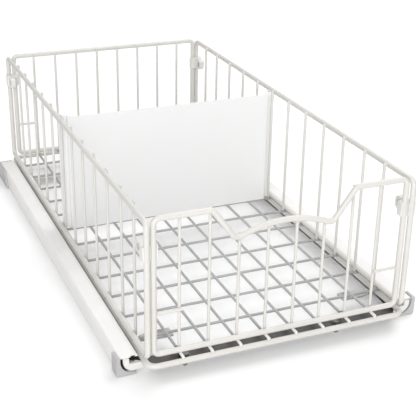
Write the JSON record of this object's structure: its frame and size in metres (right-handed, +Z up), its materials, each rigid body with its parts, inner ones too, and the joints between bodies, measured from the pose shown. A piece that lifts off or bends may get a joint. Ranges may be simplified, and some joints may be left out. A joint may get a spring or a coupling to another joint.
{
  "type": "pull out cabinet basket",
  "caption": "Low wire basket on two side slides for a base cabinet, with a dipped front wall, corner clips and a lift-out divider.",
  "frame": {"origin": "middle of the footprint, on the cabinet floor that the rails lie on", "axes": "+Z up, +Y from the front (dipped wall) to the back, along the travel; +X to the right seen from the front"},
  "size_m": [0.3092, 0.5432, 0.1566],
  "materials": {
    "white_wire": "white powder coat, satin",
    "rail_enamel": "white enamel, satin",
    "clip_plastic": "moulded, semi-gloss",
    "divider_plastic": "smooth gloss sheet",
    "cap_plastic": "moulded, matt grey",
    "nose_plastic": "moulded, semi-gloss",
    "dark_steel": "black enamel, glossy",
    "zinc_steel": "zinc plated",
    "wheel_nylon": "turned nylon"
  },
  "bodies": {
    "rails": {"left_rail": "rail_enamel", "right_rail": "rail_enamel", "front_cap_left": "cap_plastic", "front_cap_right": "cap_plastic", "rear_cap_left": "cap_plastic", "rear_cap_right": "cap_plastic", "left_stop": "cap_plastic", "right_stop": "cap_plastic"},
    "carriage": {"tray_rim": "white_wire", "long_wires": "white_wire", "cross_wires": "white_wire", "left_wall": "white_wire", "right_wall": "white_wire", "front_wall": "white_wire", "back_wall": "white_wire", "clip_front_left": "clip_plastic", "clip_front_right": "clip_plastic", "clip_rear_left": "clip_plastic", "clip_rear_right": "clip_plastic", "clip_screws": "zinc_steel", "clip_nuts": "zinc_steel", "left_runner": "dark_steel", "right_runner": "dark_steel", "left_nose": "nose_plastic", "right_nose": "nose_plastic", "front_crossbar": "dark_steel", "rear_crossbar": "rail_enamel", "left_strap": "zinc_steel", "right_strap": "zinc_steel", "tray_screws": "dark_steel", "tray_nuts": "dark_steel", "tray_clips": "zinc_steel", "rivets": "zinc_steel", "wheel_axles": "zinc_steel"},
    "divider": {"divider": "divider_plastic"},
    "left_wheel": {"left_wheel": "wheel_nylon"},
    "right_wheel": {"right_wheel": "wheel_nylon"}
  },
  "joints": [
    {"name": "basket_slide", "type": "slide", "parent": "rails", "child": "carriage", "axis": [0, -1, 0], "range_m": [0, 0.375]},
    {"name": "left_wheel_spin", "type": "hinge", "parent": "carriage", "child": "left_wheel", "pos_m": [-0.143, 0.237, 0.0084], "axis": [1, 0, 0], "continuous": true},
    {"name": "right_wheel_spin", "type": "hinge", "parent": "carriage", "child": "right_wheel", "pos_m": [0.143, 0.237, 0.0084], "axis": [1, 0, 0], "continuous": true},
    {"name": "divider_lift", "type": "slide", "parent": "carriage", "child": "divider", "axis": [0, 0, 1], "range_m": [0, 0.14]}
  ],
  "couplings": [
    {"joint": "left_wheel_spin", "follows": "basket_slide", "rad_per_m": 151.52},
    {"joint": "right_wheel_spin", "follows": "basket_slide", "rad_per_m": 151.52}
  ]
}
